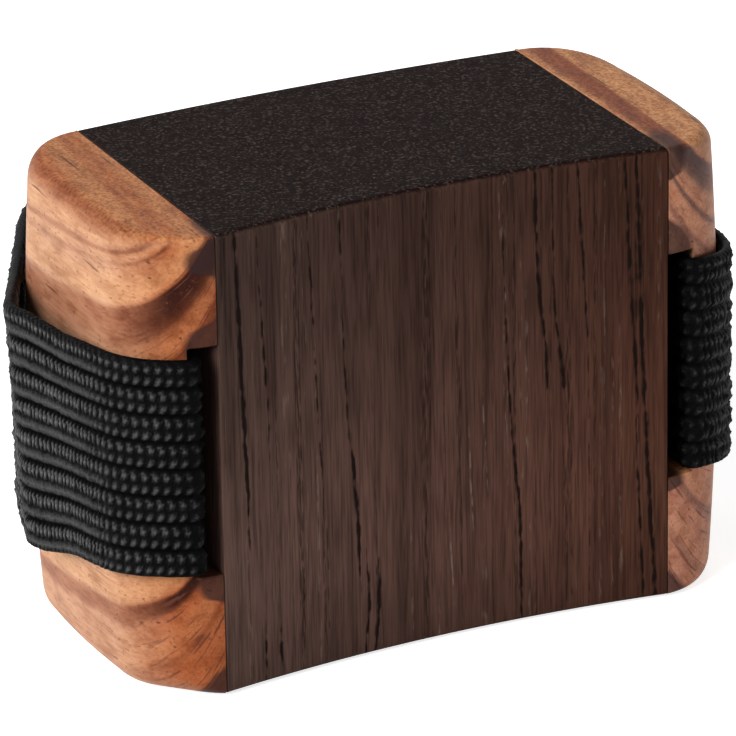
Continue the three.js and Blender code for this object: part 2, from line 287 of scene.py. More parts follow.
endOn = addNode(tree, "Math", {0: facing["Z"]}, operation="ABSOLUTE")
endOn = addNode(tree, "MapRange", {"Value": endOn}, span=darkWood["endFacing"])
sideOn = addNode(tree, "Math", {0: 1.0, 1: endOn}, operation="SUBTRACT")
inFront = addNode(tree, "MapRange", {"Value": axes["Y"]}, span=darkWood["frontY"])
inFront = addNode(tree, "Math", {0: inFront, 1: sideOn}, operation="MULTIPLY")
wander = addNode(tree, "MapRange", {"Value": grain["wander"]}, span=darkWood["wander"])
acrossX = addNode(tree, "Math", {0: axes["X"], 1: wander}, operation="ADD")
height = addNode(tree, "Math", {0: axes["Z"], 1: block["height"] * mm}, operation="DIVIDE")
broken = addNode(tree, "MapRange", {"Value": grain["break"]}, span=darkWood["break"])
reach = darkWood["lineReach"]
masks = {}
for kind in ("dark", "pale"):
    for line in darkWood[kind]:
        # how far the point lies inside the line's half width, with a soft edge
        middle = addNode(tree, "FloatCurve", {"Value": height},
                         curve=[(z / block["height"], x / (2 * reach) + 0.5) for z, x, _ in line])
        middle = addNode(tree, "MapRange", {"Value": middle}, span=(0.0, 1.0, -reach * mm, reach * mm))
        away = addNode(tree, "Math", {0: acrossX, 1: middle}, operation="SUBTRACT")
        away = addNode(tree, "Math", {0: away}, operation="ABSOLUTE")
        wide = addNode(tree, "FloatCurve", {"Value": height},
                       curve=[(z / block["height"], w) for z, _, w in line])
        wide = addNode(tree, "Math", {0: wide, 1: broken}, operation="ADD")
        inside = addNode(tree, "Math", {0: away, 1: -1 / mm, 2: wide}, operation="MULTIPLY_ADD")
        inside = addNode(tree, "MapRange", {"Value": inside},
                         span=(0.0, darkWood["lineEdge"], 0.0, darkWood["lineStrength"][kind]))
        if kind in masks:
            inside = addNode(tree, "Math", {0: masks[kind], 1: inside}, operation="MAXIMUM")
        masks[kind] = inside
    masks[kind] = addNode(tree, "Math", {0: masks[kind], 1: inFront}, operation="MULTIPLY")
toRight = addNode(tree, "MapRange", {"Value": axes["X"]}, span=darkWood["redX"])
colour = addNode(tree, "Mix", {"Factor": toRight, "A": darkWood["brown"], "B": darkWood["red"]},
                 data_type="RGBA")
# painted sheen: the sides' colour is scaled by height, brightest low in the middle of the face
paintedSheenByHeight = addNode(tree, "FloatCurve", {"Value": height},
               curve=[(z / block["height"], tone) for z, tone in darkWood["paintedSheenByHeight"]])
colour = addNode(tree, "Mix", {"Factor": 1.0, "A": colour, "B": paintedSheenByHeight},
                 data_type="RGBA", blend_type="MULTIPLY")
for name, stops in darkWood["tones"].items():
    tone = addNode(tree, "ValToRGB", {"Fac": grain[name]}, stops=stops)
    colour = addNode(tree, "Mix", {"Factor": 1.0, "A": colour, "B": tone},
                     data_type="RGBA", blend_type="MULTIPLY")
colour = addNode(tree, "Mix", {"Factor": endOn, "A": colour, "B": darkWood["endGrain"]}, data_type="RGBA")
# on the sides pores string out in lanes along the grain, some filled dark and some pale
darkLane = addNode(tree, "MapRange", {"Value": grain["lane"]}, span=darkWood["darkLane"])
dots = addNode(tree, "MapRange", {"Value": grain["dot"]}, span=darkWood["dots"])
dots = addNode(tree, "Math", {0: dots, 1: darkLane}, operation="MULTIPLY")
dots = addNode(tree, "Math", {0: dots, 1: sideOn}, operation="MULTIPLY")
paleLane = addNode(tree, "MapRange", {"Value": grain["lane"]}, span=darkWood["paleLane"])
paleLane = addNode(tree, "Math", {0: paleLane, 1: endOn}, operation="MAXIMUM")
specks = addNode(tree, "MapRange", {"Value": grain["speck"]}, span=darkWood["specks"])
specks = addNode(tree, "Math", {0: specks, 1: paleLane}, operation="MULTIPLY")
for mask, code in ((dots, "vessel"), (specks, "pore"), (masks["pale"], "pore"), (masks["dark"], "vessel")):
    colour = addNode(tree, "Mix", {"Factor": mask, "A": colour, "B": darkWood[code]}, data_type="RGBA")
# pores and vessel lines are open, so they lie lower than the sanded fibres
relief = addNode(tree, "Math", {0: grain["fibre"], 1: darkWood["fibreRelief"]}, operation="MULTIPLY")
for mask in (dots, specks, masks["dark"]):
    relief = addNode(tree, "Math", {0: relief, 1: mask}, operation="SUBTRACT")
gloss = addNode(tree, "MapRange", {"Value": grain["streak"]}, span=darkWood["gloss"])
finishMaterial(tree, darkWood, colour, relief, gloss)

# core: the block's section carried along X, then the chamber's section carried back, closed like a tube
core = {"stations": 70, "sideSteps": 40, "edgeSteps": 6,
        "chamberY": 1.2, "chamberRadius": 5.95, "chamberHalf": 6.05}


def coreSection(x, inset):
    # section at each X: a rectangle from the hollow front to the bowed back, its edges quarter circles,
    # whose radius grows with the square of the front's slope, x / dishRadius
    front, behind, top = frontAt(x) + inset, backAt(x) - inset, block["height"] - inset
    radius = block["longEdge"] + (block["endEdge"] - block["longEdge"]) * (x / dishRadius) ** 2
    line = np.linspace(0, 1, core["sideSteps"])
    turn = np.linspace(0, quarter, core["edgeSteps"] + 1)[1:-1]
    corners = [(behind - radius, inset + radius, -quarter), (behind - radius, top - radius, 0.0),
               (front + radius, top - radius, quarter), (front + radius, inset + radius, 2 * quarter)]
    runs = []
    for k, (y, z, start) in enumerate(corners):
        fromY = corners[k - 1][0] + radius * math.cos(start)
        fromZ = corners[k - 1][1] + radius * math.sin(start)
        overY = y + radius * math.cos(start) - fromY
        overZ = z + radius * math.sin(start) - fromZ
        runs.append((fromY[:, None] + overY[:, None] * line, fromZ[:, None] + overZ[:, None] * line))
        runs.append((y[:, None] + radius[:, None] * np.cos(start + turn),
                     z[:, None] + radius[:, None] * np.sin(start + turn)))
    ys, zs = (np.concatenate([run[axis] for run in runs], 1) for axis in (0, 1))
    return np.stack([np.broadcast_to(x[:, None], ys.shape), ys, zs], -1)


def chamberSection(x, outer):
    # round-ended slot, met by rays from its middle through the points of the outer section
    middle = (core["chamberY"], block["height"] / 2)
    ray = outer[:, 1:] - middle
    ray = ray / np.linalg.norm(ray, axis=1, keepdims=True)
    side, lift = np.abs(ray[:, 0]), np.abs(ray[:, 1])
    toWall = core["chamberRadius"] / np.maximum(side, tiny)
    along = lift * core["chamberHalf"]
    inRound = along ** 2 - core["chamberHalf"] ** 2 + core["chamberRadius"] ** 2
    toRound = along + np.sqrt(np.maximum(inRound, 0))
    reach = np.where(toWall * lift <= core["chamberHalf"], toWall, toRound)
    points = ray * reach[:, None] + middle
    return np.column_stack([np.full(len(points), x), points])


joint, seam = block["jointX"], block["seam"]
inner = np.linspace(-joint + seam, joint - seam, core["stations"])
coreX = np.concatenate([[-joint], inner, [joint]])
coreInset = np.concatenate([[seam], np.zeros(core["stations"]), [seam]])
outerRings = coreSection(coreX, coreInset)
chamberRings = [chamberSection(joint, outerRings[-1]), chamberSection(-joint, outerRings[0])]
rings = np.concatenate([outerRings, chamberRings])
coreFaces = gridFaces(len(rings), rings.shape[1], wrapRows=True, wrapColumns=True)
coreBlock = putMesh("coreBlock", rings, coreFaces, rosewood, weld=True)
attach(coreBlock, "block")
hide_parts("core_block")
print("core made:", len(coreBlock.data.polygons), "faces")

# end caps: outline seen from above, carried up Z, with the strap's pocket let into its front
cap = {"pocketX": 19.45, "pocketY": -6.25, "pocketLow": 9.1, "pocketHigh": 26.1, "pocketEdge": 0.12,
       "lowSwell": {"left": 1.3, "right": 0.0}, "swellScale": 3.08, "flatInset": 0.04, "edgeClear": 0.5,
       "edgeSteps": 9, "wallSteps": 7, "pocketSteps": 21, "jointSteps": 9, "cornerSteps": 26, "backSteps": 34,
       "endSteps": 18}
lipTurn = math.asin((cap["pocketX"] - cornerX) / block["corner"])  # where the pocket cuts the corner's arc


def capOutlines():
    # joint line, front corner arc, crowned end, back corner arc; the notched copy goes round the pocket
    steps, pocketX, pocketY, radius = cap["jointSteps"], cap["pocketX"], cap["pocketY"], block["corner"]
    jointFront, jointBack = float(frontAt(joint)), float(backAt(joint))
    share = np.linspace(0, 1, steps, endpoint=False)
    onJointX = np.full(steps, joint)
    jointOne = np.column_stack([onJointX, jointBack - seam + (pocketY - jointBack + seam) * share])
    jointTwo = np.column_stack([onJointX, pocketY + (jointFront + seam - pocketY) * share])
    pastLip = np.linspace(lipTurn, quarter, cap["cornerSteps"], endpoint=False)
    turn = np.concatenate([lipTurn * share, pastLip])
    frontArc = np.column_stack([cornerX + radius * np.sin(turn), -cornerY - radius * np.cos(turn)])
    frontArc[0] = (joint + seam, jointFront)
    lean = np.linspace(-1, 1, cap["endSteps"], endpoint=False) * math.asin(cornerY / crownRadius)
    endX = block["length"] / 2 - crownRadius + crownRadius * np.cos(lean)
    end = np.column_stack([endX, crownRadius * np.sin(lean)])
    homeTurn = np.linspace(quarter, 0, cap["backSteps"])
    backArc = np.column_stack([cornerX + radius * np.sin(homeTurn), cornerY + radius * np.cos(homeTurn)])
    backArc = np.vstack([backArc, (joint + seam, jointBack)])
    plain = np.vstack([jointOne, jointTwo, frontArc, end, backArc])
    lip = frontArc[steps]
    wallOne = np.column_stack([joint + (pocketX - joint) * share, np.full(steps, pocketY)])
    wallTwo = np.column_stack([np.full(steps, pocketX), pocketY + (lip[1] - pocketY) * share])
    notched = np.vstack([jointOne, wallOne, wallTwo, frontArc[steps:], end, backArc])
    normals = np.vstack([np.tile((-1.0, 0.0), (2 * steps, 1)), np.column_stack([np.sin(turn), -np.cos(turn)]),
                         np.column_stack([np.cos(lean), np.sin(lean)]),
                         np.column_stack([np.sin(homeTurn), np.cos(homeTurn)]), [(0.0, 1.0)]])
    number = np.arange(len(plain))
    onJoint = number < 2 * steps
    onMouth = (number >= 2 * steps) & (number < 3 * steps)
    return plain, notched, normals, onJoint, onMouth


def capRings(swell):
    # each row: the outline moved in along its normal by the rounded edge and by the barrel of the end face;
    # the lower edge is rounded more at each corner, by swell * scale * sqrt(e) * (1 - e)^1.5, where e is the
    # square of how far the outline looks to the end, and the scale makes the peak 1
    plain, notched, normals, onJoint, onMouth = capOutlines()
    tall, rounding, clear = block["height"], block["endEdge"], cap["edgeClear"]
    endShare = np.where(onJoint, 0.0, normals[:, 0] ** 2)
    topRadius = block["longEdge"] + (rounding - block["longEdge"]) * endShare
    lowRadius = topRadius + swell * cap["swellScale"] * np.sqrt(endShare) * (1 - endShare) ** 1.5
    turn = np.linspace(0, quarter, cap["edgeSteps"])
    low, high, edge = cap["pocketLow"], cap["pocketHigh"], cap["pocketEdge"]
    rows = [(plain, lowRadius * (1 - math.sin(t)), lowRadius * (1 - math.cos(t))) for t in turn]
    rows += [(plain, 0.0, z) for z in np.linspace(rounding + swell + clear, low - edge, cap["wallSteps"])]
    rows += [(plain, edge * onMouth, low)]
    rows += [(notched, 0.0, z) for z in np.linspace(low, high, cap["pocketSteps"])]
    rows += [(plain, edge * onMouth, high)]
    rows += [(plain, 0.0, z) for z in np.linspace(high + edge, tall - rounding - clear, cap["wallSteps"])]
    rows += [(plain, topRadius * (1 - math.sin(t)), tall - topRadius * (1 - math.cos(t))) for t in turn[::-1]]
    rings = []
    for outline, inset, z in rows:
        z = np.broadcast_to(z, endShare.shape)
        fall = block["barrel"] * endShare * (2 * z / tall - 1) ** 2
        nearFlat = np.minimum(z, tall - z)
        seamIn = np.where(onJoint, np.maximum(seam - nearFlat, 0), 0.0)
        moved = outline - normals * np.where(onJoint, 0.0, inset + fall)[:, None]
        moved = moved + np.column_stack([seamIn, np.zeros(len(z))])
        rings.append(np.column_stack([moved, z]))
    return np.array(rings)


def capMesh(name, sign, material, swell):
    rings = capRings(swell)
    count = rings.shape[1]
    # flat top and bottom: the last rows drawn in a little, then one face
    pull = cap["flatInset"]
    flats = [rings[k] * (1 - pull, 1 - pull, 1) + rings[k].mean(0) * (pull, pull, 0) for k in (0, -1)]
    rings = np.concatenate([flats[:1], rings, flats[1:]]) * (sign, 1, 1)
    total = rings.shape[0] * count
    faces = gridFaces(len(rings), count, wrapColumns=True)
    faces += [list(range(count))[::-1], list(range(total - count, total))]
    piece = putMesh(name, rings, faces, material, weld=True)
    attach(piece, "block")
    return piece


# lacquered padauk: grain along Y, growth rings as bands that flatten towards each end face and show most
# where they are cut across
# the dark grey-brown tone #302120 is the dark band beside the joint with a painted grey sheen over it
# the end face's tone #c6987a is the pale wood with a painted sheen mixed in, paler and greyer than the top
paleWood = {"end": "#c6987a", "line": "#5a3428", "jointDarkSheenTone": "#302120", "early": "#e6b27f",
            "ior": 1.5, "specular": 0.04, "gloss": (0.3, 0.7, 0.38, 0.5),
            "fibreRelief": 0.3, "bumpStrength": 0.35, "bumpDepth": 0.04,
            # growth rings: curve towards the joint, heights that they span, slow wobble (per millimetre)
            "bend": 0.13, "span": (-8.0, 36.0), "wobble": 0.35, "wobbleScale": (0.3, 0.08, 0.3),
            # dark side of a ring, as (share of its depth below the edge, height above it, strength), and
            # its pale side, as (height above the edge, strength)
            "lateSide": [(1, 0.0, 0.0), (0.55, 0.0, 0.8), (0, -0.25, 1.0), (0, 0.1, 0.0)],
            "earlySide": [(0.0, 0.0), (0.2, 0.7), (1.2, 1.0), (3.2, 0.0)],
            "earlyStrength": 0.32, "lateShown": (0.0, 1.0, 0.58, 1.0),
            # how far a face looks to the front or back to be cut across, or up to be the top
            "acrossFacing": (0.2, 0.85), "topFacing": (0.4, 0.9),
            # width across and length along the grain in millimetres, then the noise's detail; checks lie
            # along the rings, and grit is the same every way
            "grain": {"mottle": (1.2, 3.0, 4), "fibre": (0.22, 2.0, 2), "pore": (0.2, 0.5, 1),
                      "gash": (0.4, 8.0, 1)},
            "grainWarp": 0.2, "check": (0.3, 1.8), "checkWarp": 0.3, "checkSpan": (0.58, 0.67), "grit": 0.24,
            "pores": (0.62, 0.74, 0.0, 0.45), "gashes": (0.7, 0.78, 0.0, 0.8),
            "tones": {"mottle": [(0.32, "#d6c6be"), (0.5, "#f4f0ee"), (0.66, "#ffffff")],
                      "fibre": [(0.3, "#eae1db"), (0.6, "#ffffff")]},
            "gritTones": [(0.36, "#d0c0b3"), (0.58, "#ffffff")],
            # dark layer laid open by the rounded top edge, by how far the face looks up, fading out in front
            "arrisShape": [(0.3, 0.0), (0.55, 0.7), (0.9, 1.0), (0.97, 0.0)],
            "arrisY": (-9.5 * mm, -5.0 * mm),
            # longest distance in the list topRings and in the list of the dark band beside the joint, and how
            # that band fades out
            "topReach": 8, "jointDarkSheenReach": 4, "jointDarkSheenFade": (0.0, 0.6 * mm, 0.0, 0.85),
            "jointDarkSheenY": (-7.0 * mm, -9.0 * mm),
            # rings: height of each edge on the end face, strength and depth of its dark side
            # arris and checks: their strength; topRings: how much the rings show on the top, by distance in
            # from the end; the band beside the joint on the front: a dark ring band with a painted grey
            # sheen, as (height, width)
            "left": {"tilt": 0.105, "top": "#bc764c", "cross": "#a25a35", "late": "#94573c",
                     "lateCross": "#331813",
                     "rings": [(1.0, 0.3, 1.0), (5.9, 1.0, 2.2), (12.0, 0.5, 2.0), (17.5, 0.6, 2.2),
                               (23.0, 0.4, 1.6), (28.1, 1.0, 4.6), (31.2, 0.8, 0.5), (32.1, 1.0, 0.6)],
                     "arris": 0.75, "checks": 0.85, "topRings": [(0.0, 0.0), (7.0, 0.0)],
                     "jointDarkSheen": [(0.0, 2.3), (1.5, 1.4), (3.6, 0.0), (6.4, 0.0), (7.6, 1.8), (9.0, 2.2),
                              (23.0, 0.0), (26.0, 2.6), (27.0, 2.4), (28.4, 0.5), (30.4, 0.2), (31.4, 1.2),
                              (32.2, 2.4), (33.4, 1.4), (34.0, 0.8)]},
            "right": {"tilt": -0.03, "top": "#d89c6e", "cross": "#bb826b", "late": "#95573d",
                      # the right cap's cross-cut ring tone is the dark ring band greyed by a painted sheen
                      "lateCross": "#5c4a47",
                      "rings": [(0.5, 0.3, 1.2), (5.4, 0.5, 1.6), (11.0, 0.5, 2.0), (16.5, 0.6, 2.2),
                                (21.5, 0.6, 2.0), (25.2, 0.5, 1.0), (27.6, 0.8, 0.9), (31.4, 1.0, 3.6)],
                      "arris": 0.0, "checks": 0.65, "topRings": [(2.8, 0.0), (3.8, 1.0)],
                      "jointDarkSheen": [(0.0, 2.2), (1.5, 0.9), (3.2, 0.0), (7.8, 0.0), (8.6, 1.6), (9.2, 1.6),
                               (23.0, 0.0), (25.8, 2.4), (27.4, 1.9), (28.6, 0.7), (29.4, 0.0), (31.2, 0.0),
                               (32.2, 1.5), (33.4, 1.7), (34.0, 1.7)]}}


def padauk(name, side):
    material, tree = newMaterial(name)
    look = paleWood[side]
    coords, axes, facing = surfaceInputs(tree)
    # ring height: Z + tilt * Y - bend * (distance in from the end)^2, with a slow wobble
    out = addNode(tree, "Math", {0: axes["X"]}, operation="ABSOLUTE")
    deep = addNode(tree, "Math", {0: block["length"] / 2 * mm, 1: out}, operation="SUBTRACT")
    square = addNode(tree, "Math", {0: deep, 1: deep}, operation="MULTIPLY")
    ring = addNode(tree, "Math", {0: square, 1: -paleWood["bend"] / mm, 2: axes["Z"]},
                   operation="MULTIPLY_ADD")
    ring = addNode(tree, "Math", {0: axes["Y"], 1: look["tilt"], 2: ring}, operation="MULTIPLY_ADD")
    slow = addNode(tree, "Mapping",
                   {"Vector": coords, "Scale": [scale / mm for scale in paleWood["wobbleScale"]]})
    slow = addNode(tree, "TexNoise", {"Vector": slow, "Scale": 1.0, "Detail": 3.0})
    ring = addNode(tree, "Math", {0: slow, 1: paleWood["wobble"] * 2 * mm, 2: ring},
                   operation="MULTIPLY_ADD")
    # short dark checks lie along the rings where the wood is cut across, but not in the pale early wood
    across, along = paleWood["check"]
    checks = addNode(tree, "CombineXYZ", {"X": axes["X"], "Y": axes["Y"], "Z": ring})
    checks = addNode(tree, "Mapping",
                     {"Vector": checks, "Scale": (1 / along / mm, 1 / along / mm, 1 / across / mm)})
    checks = addNode(tree, "TexNoise",
                     {"Vector": checks, "Scale": 1.0, "Detail": 2.0, "Distortion": paleWood["checkWarp"]})
    checks = addNode(tree, "MapRange", {"Value": checks}, span=(*paleWood["checkSpan"], 0.0, look["checks"]))
    low, high = paleWood["span"]
    ring = addNode(tree, "MapRange", {"Value": ring}, span=(low * mm, high * mm))
    late, early = [], []
    for edge, strong, depth in look["rings"]:
        late += [(edge - depth * share + above, strong * tone) for share, above, tone in paleWood["lateSide"]]
        early += [(edge + above, strong * tone) for above, tone in paleWood["earlySide"]]
    late, early = (addNode(tree, "FloatCurve", {"Value": ring},
                           curve=[((at - low) / (high - low), value) for at, value in line])
                   for line in (late, early))
    grain = {}
    for kind, (across, along, detail) in paleWood["grain"].items():
        spaced = addNode(tree, "Mapping",
                         {"Vector": coords, "Rotation": (math.atan(-look["tilt"]), 0, 0),
                          "Scale": (1 / across / mm, 1 / along / mm, 1 / across / mm)})
        grain[kind] = addNode(tree, "TexNoise", {"Vector": spaced, "Scale": 1.0, "Detail": detail,
                                                 "Distortion": paleWood["grainWarp"]})
    across = addNode(tree, "Math", {0: facing["Y"]}, operation="ABSOLUTE")
    across = addNode(tree, "MapRange", {"Value": across}, span=paleWood["acrossFacing"])
    up = addNode(tree, "MapRange", {"Value": facing["Z"]}, span=paleWood["topFacing"])
    checks = addNode(tree, "Math", {0: checks, 1: across}, operation="MULTIPLY")
    clear = addNode(tree, "Math", {0: 1.0, 1: early}, operation="SUBTRACT")
    checks = addNode(tree, "Math", {0: checks, 1: clear}, operation="MULTIPLY")
    # the end face's colour carries a painted sheen
    colour = addNode(tree, "Mix", {"Factor": across, "A": paleWood["end"], "B": look["cross"]},
                     data_type="RGBA")
    colour = addNode(tree, "Mix", {"Factor": up, "A": colour, "B": look["top"]}, data_type="RGBA")
    early = addNode(tree, "Math", {0: early, 1: paleWood["earlyStrength"]}, operation="MULTIPLY")
    colour = addNode(tree, "Mix", {"Factor": early, "A": colour, "B": paleWood["early"]}, data_type="RGBA")
    lateTone = addNode(tree, "Mix", {"Factor": across, "A": look["late"], "B": look["lateCross"]},
                       data_type="RGBA")
    shown = addNode(tree, "MapRange", {"Value": across}, span=paleWood["lateShown"])
    inward = addNode(tree, "Math", {0: deep, 1: paleWood["topReach"] * mm}, operation="DIVIDE")
    onTop = addNode(tree, "FloatCurve", {"Value": inward},
                    curve=[(at / paleWood["topReach"], value) for at, value in look["topRings"]])
    shown = addNode(tree, "Mix", {"Factor": up, "A": shown, "B": onTop})
    late = addNode(tree, "Math", {0: late, 1: shown}, operation="MULTIPLY")
    arris = addNode(tree, "FloatCurve", {"Value": facing["Z"]},
                    curve=[(at, tone * look["arris"]) for at, tone in paleWood["arrisShape"]])
    behind = addNode(tree, "MapRange", {"Value": axes["Y"]}, span=paleWood["arrisY"])
    arris = addNode(tree, "Math", {0: arris, 1: behind}, operation="MULTIPLY")
    late = addNode(tree, "Math", {0: late, 1: arris}, operation="MAXIMUM")
    colour = addNode(tree, "Mix", {"Factor": late, "A": colour, "B": lateTone}, data_type="RGBA")
    for kind, stops in paleWood["tones"].items():
        tone = addNode(tree, "ValToRGB", {"Fac": grain[kind]}, stops=stops)
        colour = addNode(tree, "Mix", {"Factor": 1.0, "A": colour, "B": tone},
                         data_type="RGBA", blend_type="MULTIPLY")
    # the tops are cut across the fibres and look gritty
    grit = addNode(tree, "Mapping", {"Vector": coords, "Scale": (1 / paleWood["grit"] / mm,) * 3})
    grit = addNode(tree, "TexNoise", {"Vector": grit, "Scale": 1.0, "Detail": 2.0})
    grit = addNode(tree, "ValToRGB", {"Fac": grit}, stops=paleWood["gritTones"])
    colour = addNode(tree, "Mix", {"Factor": up, "A": colour, "B": grit},
                     data_type="RGBA", blend_type="MULTIPLY")
    pores = addNode(tree, "MapRange", {"Value": grain["pore"]}, span=paleWood["pores"])
    gashes = addNode(tree, "MapRange", {"Value": grain["gash"]}, span=paleWood["gashes"])
    # dark band beside the joint with a painted grey sheen: inside its width, on the front only
    height = addNode(tree, "Math", {0: axes["Z"], 1: block["height"] * mm}, operation="DIVIDE")
    jointDarkSheen = addNode(tree, "FloatCurve", {"Value": height},
                   curve=[(z / block["height"], wide / paleWood["jointDarkSheenReach"]) for z, wide in look["jointDarkSheen"]])
    beside = addNode(tree, "Math", {0: out, 1: block["jointX"] * mm}, operation="SUBTRACT")
    beside = addNode(tree, "Math", {0: beside, 1: -1.0}, operation="MULTIPLY")
    jointDarkSheen = addNode(tree, "Math", {0: jointDarkSheen, 1: paleWood["jointDarkSheenReach"] * mm, 2: beside},
                   operation="MULTIPLY_ADD")
    jointDarkSheen = addNode(tree, "MapRange", {"Value": jointDarkSheen}, span=paleWood["jointDarkSheenFade"])
    inFront = addNode(tree, "MapRange", {"Value": axes["Y"]}, span=paleWood["jointDarkSheenY"])
    jointDarkSheen = addNode(tree, "Math", {0: jointDarkSheen, 1: inFront}, operation="MULTIPLY")
    for mask, code in ((pores, "line"), (gashes, "line"), (checks, "line"), (jointDarkSheen, "jointDarkSheenTone")):
        colour = addNode(tree, "Mix", {"Factor": mask, "A": colour, "B": paleWood[code]}, data_type="RGBA")
    relief = addNode(tree, "Math", {0: grain["fibre"], 1: paleWood["fibreRelief"]}, operation="MULTIPLY")
    for mask in (pores, gashes, checks):
        relief = addNode(tree, "Math", {0: relief, 1: mask}, operation="SUBTRACT")
    gloss = addNode(tree, "MapRange", {"Value": grain["mottle"]}, span=paleWood["gloss"])
    finishMaterial(tree, paleWood, colour, relief, gloss)
    return material


for side, sign in (("left", -1), ("right", 1)):
    finish = padauk("lacqueredPadauk" + side.capitalize(), side)
    piece = capMesh(side + "EndCap", sign, finish, cap["lowSwell"][side])
    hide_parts(side + "_end_cap")
    print(side, "cap made:", len(piece.data.polygons), "faces")

# strap: one length of ribbed elastic, its section carried along a path of straights and left-hand turns seen
# from above; lengths in millimetres and angles in degrees
strap = {"width": 16.0, "thick": 1.0, "middleZ": 17.6, "gap": 0.08, "leftFlare": 21.5, "rightFlare": 3.0,
         "backLean": 26.0, "sideRadius": 2.0, "fingerGap": 16.0, "tailEndY": -6.55,
         # knit: ribs of two rows, and the places over one rib that get a vertex on its outer and inner face
         "ribs": 8, "ribDepth": 0.24, "beadDepth": 0.17, "chevron": 0.7, "rowShift": 0.37, "flatBead": 0.55,
         "ribRound": 0.6, "rowRound": 0.8, "outerPlaces": [0.0, 0.13, 0.27, 0.5, 0.73, 0.87],
         "innerPlaces": [0.0, 0.25, 0.5, 0.75], "edgePlace": 0.04, "samples": 4, "fineSteps": 4000,
         "selvedge": 0.42, "selvedgeWave": 0.14, "selvedgeLeast": 0.03,
         # height of a point of the knit, for its colour of painted shade and highlight: selvedge and its
         # wave, rib and bead
         "riseEdge": (0.2, 0.25), "riseRib": 0.3, "riseBead": 0.7,
         # uneven knit by distance from the right tail's end, and what keeps the eased noise's spread near 1
         "uneven": [(14.0, 0.1), (24.0, 0.07)], "noiseSeed": 7, "noiseSpread": 2.45,
         # by distance from a tail's end: length of a stitch, which the pull round the corner draws out; how
         # far the lower row's beads are drawn; tone of the yarn, darkened towards the tails by painted shade
         # in the pockets and paled further out by painted light and sheen; how far the strap drops; and how
         # far its lower edge leans in and hangs down, and its edges spread, per millimetre of width
         "rightStitch": [(16.0, 0.54), (20.0, 0.48), (36.0, 0.5)],
         "leftStitch": [(11.0, 0.74), (14.0, 0.38), (30.0, 0.38), (36.0, 0.5)],
         "drawn": [(11.0, 1.0), (14.0, 0.0)],
         "rightTone": [(4.2, 0.3), (6.0, 0.8), (8.0, 1.05), (11.0, 1.2), (18.0, 1.36)],
         "leftTone": [(4.2, 0.3), (6.0, 0.8), (8.0, 1.0), (11.0, 1.0), (14.0, 1.26), (18.0, 1.36)],
         "rightDrop": [(6.0, 0.0), (9.0, 0.6), (12.0, 1.0), (20.0, 1.1), (45.0, 0.0)],
         "leftLean": [(12.0, 0.0), (17.0, 0.07), (21.0, 0.07), (27.0, 0.0)],
         "leftSpread": [(12.0, 0.0), (16.0, 0.03), (19.5, 0.12), (22.0, 0.12), (29.0, 0.03), (40.0, 0.0)],
         "leftHang": [(8.0, 0.0), (14.0, 0.03), (26.0, 0.03), (40.0, 0.0)]}


def strapValue(name, distance):  # one of the strap's lists at each distance, straight between its points
    return np.interp(distance, *zip(*strap[name]))


def strapPath():
    # lengths and turns, from the right tail's end round the loop to the left tail's end; all turns go left
    wrap = strap["gap"] + strap["thick"] / 2
    reach, side, lean = block["corner"] + wrap, strap["sideRadius"], math.radians(strap["backLean"])
    lipY = -cornerY - block["corner"] * math.cos(lipTurn)
    apexY = block["depth"] / 2 + block["bow"] + strap["fingerGap"] + strap["thick"] / 2
    passX, passY = cornerX + reach * math.cos(lean), cornerY + reach * math.sin(lean)
    rise = (1 - math.sin(lean)) / math.cos(lean)
    run = (apexY - passY - passX * rise) / (math.cos(lean) - math.sin(lean) * rise)
    closing = (passX - run * math.sin(lean)) / math.cos(lean)
    halves = []
    for flare in (math.radians(strap["rightFlare"]), math.radians(strap["leftFlare"])):
        corners = reach * (math.cos(lean) - math.cos(flare))
        depth = 2 * cornerY + reach * (math.sin(lean) + math.sin(flare))
        outward = (corners + math.tan(lean) * depth) / (math.sin(flare) + math.tan(lean) * math.cos(flare))
        homeward = (depth - outward * math.cos(flare)) / math.cos(lean)
        bend = side * math.tan((flare + lean) / 2)
        aroundLip, aroundCorner = quarter + lipTurn, quarter - lipTurn - flare
        halves.append([(strap["tailEndY"] - lipY, 0), (wrap * aroundLip, aroundLip),
                       (reach * aroundCorner, aroundCorner), (outward - bend, 0),
                       (side * (flare + lean), flare + lean), (homeward - bend + run, 0),
                       (closing * (quarter - lean), quarter - lean)])
    parts = np.array(halves[0] + halves[1][::-1])
    ends = np.concatenate([[0], np.cumsum(parts[:, 0])])
    # stations at equal shares of a stitch
    fine = np.linspace(0, ends[-1], strap["fineSteps"])
    fromRight, fromLeft = strapValue("rightStitch", fine), strapValue("leftStitch", ends[-1] - fine)
    pitch = np.where(fine < ends[-1] / 2, fromRight, fromLeft)
    stitches = np.concatenate([[0], np.cumsum(np.diff(fine) * 2 / (pitch[1:] + pitch[:-1]))])
    count = np.linspace(0, stitches[-1], int(stitches[-1] * strap["samples"]) + 1)
    s = np.interp(count, stitches, fine)
    heading = math.pi - np.interp(s, ends, np.concatenate([[0], np.cumsum(parts[:, 1])]))
    step = np.diff(s)
    middle = (heading[1:] + heading[:-1]) / 2
    x = cap["pocketX"] - wrap + np.concatenate([[0], np.cumsum(np.sin(middle) * step)])
    y = strap["tailEndY"] + np.concatenate([[0], np.cumsum(np.cos(middle) * step)])
    return s, count, x, y, heading


